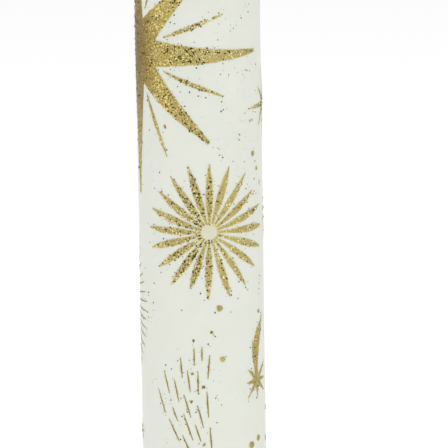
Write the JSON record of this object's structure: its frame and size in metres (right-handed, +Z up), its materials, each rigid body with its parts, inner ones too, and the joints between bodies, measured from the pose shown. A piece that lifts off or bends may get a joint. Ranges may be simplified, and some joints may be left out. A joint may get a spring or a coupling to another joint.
{
  "type": "unity candle",
  "caption": "Tall white pillar candle for a wedding, a dipped wax cylinder with a centred wick and gold glitter stars, sunbursts and comets wrapped round its wall.",
  "frame": {"origin": "centre of the candle's foot, on the surface that it stands on", "axes": "+Z up along the candle's axis; -Y is the front, where the sunburst is"},
  "size_m": [0.0502, 0.0502, 0.3125],
  "materials": {
    "core_wax": "dull pressed paraffin, faintly grainy",
    "overdip_wax": "smooth satin overdip",
    "cotton_wick": "waxed braided cotton",
    "tinplate": "bright stamped tinplate",
    "gold_glitter": "matte gold glitter in clear size",
    "glitter_flake": "metallised film flake"
  },
  "bodies": {
    "root": {"comet_transfer_back": "gold_glitter", "comet_transfer_right": "gold_glitter", "dot_transfers": "gold_glitter", "falling_star_streak_transfer_back": "gold_glitter", "falling_star_streak_transfer_front": "gold_glitter", "falling_star_transfer_back": "gold_glitter", "falling_star_transfer_front": "gold_glitter", "great_star_ray_transfer": "gold_glitter", "great_star_transfer": "gold_glitter", "loose_glitter_flakes": "glitter_flake", "overdip_coat": "overdip_wax", "ray_burst_transfer_left": "gold_glitter", "ray_burst_transfer_top": "gold_glitter", "small_star_transfers": "gold_glitter", "sparkle_transfer_back": "gold_glitter", "sparkle_transfer_right": "gold_glitter", "sunburst_transfer_back": "gold_glitter", "sunburst_transfer_front": "gold_glitter", "wax_core": "core_wax", "wick": "cotton_wick", "wick_sustainer": "tinplate"}
  },
  "joints": []
}
